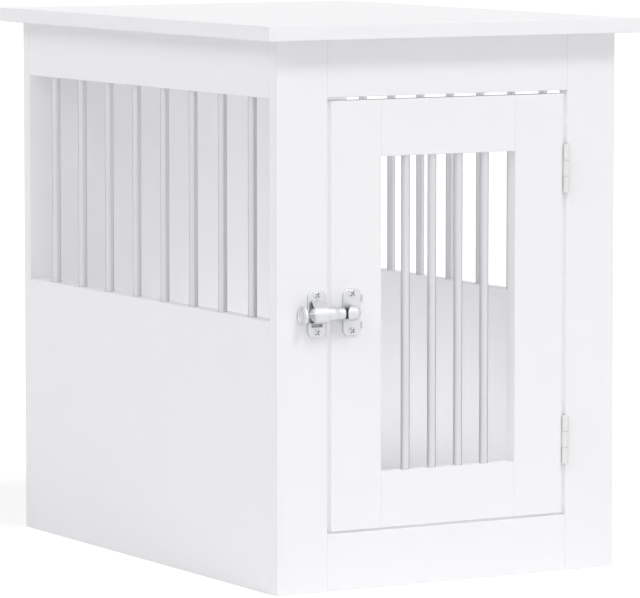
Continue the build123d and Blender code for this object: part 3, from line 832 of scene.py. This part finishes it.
class CRATE_OT_latch_base(bpy.types.Operator):
    """Build the latch's base plate and the bridge that guides the bolt"""
    bl_idname = "crate.latch_base"
    bl_label = "Latch base"

    def execute(self, context):
        size = context.scene.crate_latch
        _, axis_z, radius = latch_axis()
        x = centre_of("latch_base").x
        base = latch_plate(size, "latch_guide", x)
        base.data.materials.append(satin_metal(size))
        face = board_face() - size.plate_thick
        x0, x1 = x - size.bridge_width / 2, x + size.bridge_width / 2
        bore = radius + size.bolt_play
        outer = self.arch(size, bore + size.bridge_wall, 0)
        inner = self.arch(size, bore, size.bridge_wall)
        base = combine(base, [self.band(outer, inner, x, size)], "UNION")
        z1 = axis_z - size.bridge_below - size.bridge_edge / 4
        slot = shape("slot", cube((x0, face - MM, z1 - size.slot), (x1, board_face() - size.slot_floor, z1)))
        # the slot's faces take the slot colour, painted shade
        slot.data.materials.append(plain_grained("Dark slot", size.recess, grain=1.0 * MM, depth=0.01 * MM))
        base = combine(base, [slot], "DIFFERENCE")
        finish_piece(base, satin_metal(size), body_of("latch_base"), ["latch_base"])
        return {"FINISHED"}

    def arch(self, size, radius, inset, steps=20):
        """Section of the bridge in the YZ plane: a round crest with legs that slope down to the plate."""
        axis_y, axis_z, _ = latch_axis()
        face = board_face() - size.plate_thick
        above, below = size.bridge_above - inset, size.bridge_below - inset
        drop = face - axis_y
        start, end = (atan2(foot, drop) + acos(radius / hypot(foot, drop)) for foot in (above, below))
        crest = []
        for k in range(steps + 1):
            a = start + (2 * pi - end - start) * k / steps
            crest.append(Vector((axis_y + radius * cos(a), axis_z + radius * sin(a))))
        upper, lower = Vector((face, axis_z + above)), Vector((face, axis_z - below))
        sink = Vector((0.3 * MM, 0))
        # points close together at the feet, where the bridge's outline is rounded
        shares = (0.0, 0.02, 0.06, 0.12, 0.2)
        up = [upper.lerp(crest[0], t) for t in shares]
        down = [lower.lerp(crest[-1], t) for t in reversed(shares)]
        return [upper + sink, *up, *crest, *down, lower + sink]

    def band(self, outer, inner, x, size):
        """Wall between two arches: a strip with soft rims and rounded corners that leans to the left."""
        rings = []
        corner = size.bridge_corner
        foot, crest = outer[0].x, min(p.x for p in outer)
        for one, two in zip(outer, inner):
            run = min((one - outer[1]).length, (one - outer[-2]).length, corner)
            width = size.bridge_width - 2 * (corner - sqrt(corner ** 2 - (corner - run) ** 2))
            middle, across = (one + two) / 2, (one - two).normalized()
            lean = size.bridge_lean * (foot - one.x) / (foot - crest)
            strip = rounded_rectangle((one - two).length, width + lean, size.bridge_edge, 3)
            rings.append([(x - lean / 2 + side, *(middle + across * out)) for out, side in strip])
        return shape("bridge", stack(rings))


class CRATE_OT_keeper(bpy.types.Operator):
    """Build the keeper plate with its hood and its two lugs"""
    bl_idname = "crate.keeper"
    bl_label = "Keeper"

    def execute(self, context):
        size = context.scene.crate_latch
        axis_z = latch_axis()[1]
        x = centre_of("latch_keeper_screws").x
        left, right = x - size.plate_width / 2, x + size.plate_width / 2
        keeper = latch_plate(size, "latch_catch", x)
        keeper.data.materials.append(satin_metal(size))
        # the lugs get their own darker grey, painted shade
        pressed = plain_grained("Pressed lug", size.lug, grain=1.0 * MM, depth=0.01 * MM)
        bore, wall = size.bolt_tip / 2 + size.bolt_play, size.hood_wall
        mouth, end, dome = left + size.hood_mouth, right - size.hood_end, size.hood_dome
        outside = self.tunnel(size, bore + wall, mouth, end, dome)
        inside = self.tunnel(size, bore, mouth, end - wall, dome - 2 * wall)
        hood = self.shell(outside, inside)
        lugs = []
        for sign in (-1, 1):
            lug = slab_with_soft_rim(2 * size.lug_width, size.lug_height, size.lug_thick, 0.9 * MM, 0.5 * MM)
            spot = (right, board_face(), axis_z + sign * size.lug_offset)
            lugs.append(shape("lug", lug, aimed(spot, FORWARD)))
            lugs[-1].data.materials.append(pressed)
        keeper = combine(keeper, [hood, *lugs], "UNION")
        finish_piece(keeper, satin_metal(size), body_of("latch_keeper"), ["latch_keeper"])
        return {"FINISHED"}

    def tunnel(self, size, half, mouth, end, dome, steps=10, turns=28):
        """Arches of a half-round tunnel: its mouth leans out at the crest, and its far end is domed."""
        axis_y, axis_z, _ = latch_axis()
        face = board_face() - size.plate_thick
        rise = face - axis_y
        crest = rise + half
        sink = 0.3 * MM
        start = end - dome
        last = sin(pi / 2 * (steps - 1) / steps)
        arc = [(-half * cos(pi * k / turns), rise + half * sin(pi * k / turns)) for k in range(turns + 1)]
        rows = []
        for z, h in [(-half, -sink), *arc, (half, -sink)]:
            lip = mouth - size.hood_lean * h / crest
            base = max(lip, start)
            shares = [sin(pi / 2 * k / steps) / last for k in range(1, steps)]
            row = []
            for x in (lip, *(base + (start + dome * last - base) * t for t in shares)):
                # the dome is slightly more pointed than a circle
                s = (1 - max(0.0, (x - start) / dome) ** 2) ** 0.6
                row.append((x, face - (h * s if h > 0 else h), axis_z + z * s))
            rows.append(row)
        return list(zip(*rows))

    def shell(self, outside, inside):
        """Wall between two tunnels, open at the mouth and closed at the far end."""
        bm = bmesh.new()
        rings = [ring(bm, [*outer, *reversed(inner)]) for outer, inner in zip(outside, inside)]
        skin(bm, rings)
        lip, end = rings[0], rings[-1]
        size = len(outside[0])
        for k in range(size - 1):
            bm.faces.new([lip[k], lip[k + 1], lip[-2 - k], lip[-1 - k]])
        for cap in (end[:size], end[size:], [end[0], end[size - 1], end[size], end[-1]]):
            bm.faces.new(cap)
        return shape("hood", bm)


class CRATE_OT_bolt(bpy.types.Operator):
    """Build the bolt, its nose cap and its knob"""
    bl_idname = "crate.bolt"
    bl_label = "Bolt, nose and knob"

    def execute(self, context):
        size = context.scene.crate_latch
        thick, thin, pin = latch_axis()[2], size.bolt_tip / 2, size.nose_pin / 2
        low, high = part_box("latch_bolt")
        tail = low.x - size.bolt_shoulder
        long = high.x - tail
        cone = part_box("front_left_stile")[1].x - tail
        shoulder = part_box("latch_nose")[0].x + size.nose_set - tail
        profile = rounded(
            [(0, 0), (thick, 0), (thick, cone), (thin, cone + size.bolt_taper), (thin, shoulder),
             (pin, shoulder), (pin, long), (0, long)],
            [size.bolt_tail, size.bolt_blend, size.bolt_blend, 0.4 * MM, 0, 0.5 * MM])
        bolt = shape("latch_slider", lathe(profile, size.facets), on_bolt_axis(tail))
        smooth = plated_metal(
            "Satin plated bolt", size, grain=1.5 * MM, depth=0.02 * MM, edge=0.3 * MM, reach=0.4 * MM)
        finish_piece(bolt, smooth, body_of("latch_bolt"), ["latch_bolt"])
        self.nose(size, long - shoulder)
        self.knob(size, low.x)
        return {"FINISHED"}

    def nose(self, size, pin_long):
        """Cap with a blind bore for the bolt's pin and a rounded end; its very dark colour is painted shade
        for the keeper's mouth.
        """
        low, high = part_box("latch_nose")
        start = low.x + size.nose_set
        long = high.x - start
        outer, bore = (high.z - low.z) / 2, size.nose_pin / 2 + size.nose_fit
        depth = pin_long + size.nose_fit
        outside = rounded([(bore, 0), (outer, 0), (outer, long), (0, long)], [0.3 * MM, size.nose_round])
        cap = lathe([*outside, (0, depth), (bore, depth)], size.facets, hollow=True)
        # the cap's very dark colour is painted shade
        shade_black = plain_grained("Black plastic", size.nose, grain=1.0 * MM, depth=0.02 * MM)
        nose = shape("latch_cap", cap, on_bolt_axis(start))
        finish_piece(nose, shade_black, body_of("latch_nose"), ["latch_nose"])

    def knob(self, size, bolt_tail):
        """Disc with rings turned into its face, on a cone that narrows to the neck, and a stud."""
        low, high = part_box("latch_knob")
        disc = (high.z - low.z) / 2
        neck = size.knob_neck / 2
        cone_end = size.knob_thick + size.knob_cone
        deep = bolt_tail - low.x
        stud, end = size.knob_stud / 2, high.x - low.x
        # steps turned into the face: share of the disc's radius, share of the rings' depth, and rounding
        sharp, soft = 0.2 * MM, 0.3 * MM
        steps = (
            (0.3, 1.5, sharp), (0.36, 0.7, soft), (0.56, 0.7, soft), (0.62, 1.5, sharp), (0.74, 1.5, sharp),
            (0.8, 0, soft), (1, 0, size.knob_edge))
        face = [(disc * out, size.knob_ring * down) for out, down, _ in steps]
        back = [(disc, size.knob_thick), (neck, cone_end), (neck, deep), (stud, deep), (stud, end), (0, end)]
        turns = [*(turn for _, _, turn in steps), size.knob_edge, size.knob_waist, 0, 0, soft]
        profile = rounded([(0, face[0][1]), *face, *back], turns)
        knob = shape("latch_pull", lathe(profile, size.facets), on_bolt_axis(low.x))
        tones = (size.knob, [0.85 * c for c in size.knob])
        turned = plated_metal(
            "Turned knob", size, grain=1.5 * MM, depth=0.02 * MM, edge=0.3 * MM, reach=2 * MM, tones=tones)
        finish_piece(knob, turned, body_of("latch_knob"), ["latch_knob"])


class CRATE_OT_screws(bpy.types.Operator):
    """Build the domed screws of the latch plates, with crossed recesses"""
    bl_idname = "crate.screws"
    bl_label = "Latch screws"

    def execute(self, context):
        size = context.scene.crate_screws
        metal = plated_metal(
            "Plated screw", size, grain=0.8 * MM, depth=0.004 * MM, edge=0.2 * MM, reach=1.6 * MM)
        # the crosses take a very dark colour, painted shade
        dark = plain_grained("Screw recess", size.recess, grain=0.3 * MM, depth=0.004 * MM)
        plate_face = board_face() - context.scene.crate_latch.plate_thick
        for number, node in enumerate(("latch_base_screws", "latch_keeper_screws")):
            low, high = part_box(node)
            head = size.head / 2
            for k, z in enumerate((low.z + head, high.z - head)):
                name = f"{node[:-1]}_{k + 1}"
                # the driver leaves each cross at its own angle
                turn = 0.7 + 0.11 * k + 0.07 * number
                seat = Vector((centre_of(node).x, plate_face, z))
                tall, long = plate_face - low.y, high.y - plate_face
                screw = self.screw(size, name, seat, tall, long, turn, metal, dark)
                finish_piece(screw, metal, body_of(node), [node])
        return {"FINISHED"}

    def screw(self, size, name, seat, tall, long, turn, metal, dark):
        """Screw with a low domed head, tall by long before and behind its seat."""
        head, shank = size.head / 2, size.shank / 2
        rim = 0.2 * tall
        climb = (0.0, 0.3, 0.6, 0.9, 1.2, 1.4, 1.5)
        dome = [(head * cos(a) ** 0.4, rim + (tall - rim) * sin(a)) for a in climb]
        point = [(0, -long), (shank * 0.3, -long + 0.4 * MM), (shank, -long + size.point)]
        profile = [*point, (shank, 0), (head, 0), *dome, (0, tall)]
        screw = shape(name, lathe(profile, size.facets), aimed(seat, FORWARD))
        top = aimed(seat + FORWARD * tall, FORWARD)
        cutter = shape("cross", cross_cutter(size), top @ Matrix.Rotation(turn, 4, "Z"))
        screw.data.materials.append(metal)
        cutter.data.materials.append(dark)
        return combine(screw, [cutter], "DIFFERENCE")


def hang(name, data, spot, turn):
    """Object for a light or a camera, set in its place."""
    made = bpy.data.objects.new(name, data)
    made.location = spot
    made.rotation_euler = turn
    bpy.context.scene.collection.objects.link(made)
    return made


def backdrop_rays(tree):
    """1 for the rays that see the backdrop: from the camera, from a mirroring surface and through glass."""
    rays = place(tree, "ShaderNodeLightPath")
    seen = rays.outputs["Is Camera Ray"]
    for label in ("Is Glossy Ray", "Is Transmission Ray"):
        either = place(tree, "ShaderNodeMath", {0: seen, 1: rays.outputs[label]}, operation="MAXIMUM")
        seen = either.outputs[0]
    return seen


class CRATE_OT_studio(bpy.types.Operator):
    """Set up the floor, the light and the camera"""
    bl_idname = "crate.studio"
    bl_label = "Studio"

    def execute(self, context):
        studio = context.scene.crate_studio
        context.scene.view_settings.view_transform = "Standard"
        self.floor(studio)
        self.sky(context.scene, studio)
        self.lamp("Key light", studio.key, turn=14, height=56, wide=15)
        self.lamp("Side light", studio.side, turn=-72, height=40, wide=40)
        self.lamp("Low light", studio.low, turn=10, height=20, wide=60)
        self.cabin_lamps(studio)
        self.gap_lamps(studio)
        self.camera(context.scene, studio)
        return {"FINISHED"}

    def floor(self, studio):
        half = studio.floor_size / 2
        bm = bmesh.new()
        bmesh.ops.create_grid(bm, x_segments=12, y_segments=12, size=half)
        floor = shape("studio_floor", bm)
        material, tree = new_material("Pale floor")
        seen = backdrop_rays(tree)
        level = place(tree, "ShaderNodeMath", {0: seen, 1: studio.floor_glow}, operation="MULTIPLY")
        lit = place(tree, "ShaderNodeBsdfDiffuse", {"Color": rgba(studio.floor_colour)})
        glow = place(tree, "ShaderNodeEmission", {"Strength": level.outputs[0]})
        both = place(tree, "ShaderNodeAddShader", {0: lit.outputs[0], 1: glow.outputs[0]})
        put_out(tree, both)
        floor.data.materials.append(material)

    def sky(self, scene, studio):
        world = bpy.data.worlds.new("Even sky")
        scene.world = world
        world.use_nodes = True
        tree = world.node_tree
        tree.nodes.clear()
        seen = backdrop_rays(tree)
        light, white = (
            place(tree, "ShaderNodeBackground", {"Color": rgba(EVEN), "Strength": strong})
            for strong in (studio.sky, 1.0))
        both = place(tree, "ShaderNodeMixShader", {0: seen, 1: light.outputs[0], 2: white.outputs[0]})
        output = place(tree, "ShaderNodeOutputWorld")
        tree.links.new(both.outputs[0], output.inputs["Surface"])

    def lamp(self, name, energy, turn, height, wide):
        """Distant soft light, set by its turn to the right, its height and its breadth, all in degrees."""
        light = bpy.data.lights.new(name, "SUN")
        light.energy = energy
        light.angle = radians(wide)
        a, e = radians(turn), radians(height)
        towards = Vector((sin(a) * cos(e), -cos(a) * cos(e), sin(e)))
        hang(name, light, (0, 0, 0), towards.to_track_quat("Z", "Y").to_euler())

    def cabin_lamps(self, studio):
        """Even lights at the cabin's floor, ceiling and back."""
        low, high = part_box("floor_panel")
        ceiling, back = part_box("table_top")[0].z - 30 * MM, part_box("back_panel")[0].y
        wide, deep = 0.92 * (high.x - low.x), 0.92 * (high.y - low.y)
        floor = high.z + 5 * MM
        tall = ceiling - floor
        self.area_lamp(
            "Cabin floor light", studio.cabin_floor, (0.05 * wide, 0, floor), wide / 2, deep, (pi, 0, 0))
        self.area_lamp("Cabin ceiling light", studio.cabin_ceiling, (0, 0, ceiling), wide, deep, (0, 0, 0))
        behind = (wide / 4, back - 100 * MM, floor + tall / 2)
        self.area_lamp("Cabin back light", studio.cabin_back, behind, wide / 2, 0.8 * tall, (pi / 2, 0, 0))

    def gap_lamps(self, studio):
        """Lights beside the door, which shine to the right, and one under it, which shines down."""
        door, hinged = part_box("door_left_stile"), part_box("door_right_stile")[1].x
        centre, clear, deep = (door[0] + door[1]) / 2, 0.3 * MM, 0.85 * (door[1].y - door[0].y)
        tall, wide = door[1].z - door[0].z, hinged - door[0].x
        for name, at in (("Left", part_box("front_left_stile")[1].x), ("Right", hinged)):
            beside = (at + clear, centre.y, centre.z)
            self.area_lamp(f"{name} gap light", studio.gap * tall, beside, tall, deep, (0, -pi / 2, 0))
        below = ((hinged + door[0].x) / 2, centre.y, door[0].z - clear)
        self.area_lamp("Lower gap light", studio.gap_under * wide, below, wide, deep, (0, 0, 0))

    def area_lamp(self, name, energy, spot, wide, deep, turn):
        """Light that faces down before its turn and that neither the camera nor a reflection sees."""
        light = bpy.data.lights.new(name, "AREA")
        light.shape = "RECTANGLE"
        light.size, light.size_y = wide, deep
        light.energy = energy
        lamp = hang(name, light, spot, turn)
        lamp.visible_camera = False
        lamp.visible_glossy = False

    def camera(self, scene, studio):
        eye = bpy.data.cameras.new("Camera")
        eye.sensor_width = 36.0
        eye.lens = studio.camera_lens
        scene.camera = hang(
            "Camera", eye, studio.camera_place, (pi / 2 - studio.camera_tilt, 0.0, -studio.camera_turn))


class CRATE_PT_panel(bpy.types.Panel):
    """Lists the groups of pieces and their sizes"""
    bl_idname = "CRATE_PT_panel"
    bl_label = "Crate Table"
    bl_space_type = "VIEW_3D"
    bl_region_type = "UI"
    bl_category = "Crate Table"

    def draw(self, context):
        for operator, settings in STEPS:
            box = self.layout.box()
            box.operator(operator.bl_idname)
            group_of_sizes = getattr(context.scene, settings)
            for name in group_of_sizes.__annotations__:
                box.prop(group_of_sizes, name)


SETTINGS = {
    "crate_boards": CrateBoardFinish,
    "crate_bars": CrateBarShape,
    "crate_hinges": CrateHingeShape,
    "crate_latch": CrateLatchShape,
    "crate_screws": CrateScrewShape,
    "crate_studio": CrateStudio,
}
STEPS = (
    (CRATE_OT_boards, "crate_boards"),
    (CRATE_OT_bars, "crate_bars"),
    (CRATE_OT_hinges, "crate_hinges"),
    (CRATE_OT_latch_base, "crate_latch"),
    (CRATE_OT_keeper, "crate_latch"),
    (CRATE_OT_bolt, "crate_latch"),
    (CRATE_OT_screws, "crate_screws"),
    (CRATE_OT_studio, "crate_studio"),
)
CLASSES = (*SETTINGS.values(), *(operator for operator, _ in STEPS), CRATE_PT_panel)


def register():
    for cls in CLASSES:
        bpy.utils.register_class(cls)
    for name, cls in SETTINGS.items():
        setattr(bpy.types.Scene, name, PointerProperty(type=cls))


def unregister():
    for name in SETTINGS:
        delattr(bpy.types.Scene, name)
    for cls in reversed(CLASSES):
        bpy.utils.unregister_class(cls)


def main():
    register()
    bpy.ops.crate.boards()
    bpy.ops.crate.bars()
    bpy.ops.crate.hinges()
    bpy.ops.crate.latch_base()
    bpy.ops.crate.keeper()
    bpy.ops.crate.bolt()
    bpy.ops.crate.screws()
    bpy.ops.crate.studio()


if __name__ == "__main__":
    main()
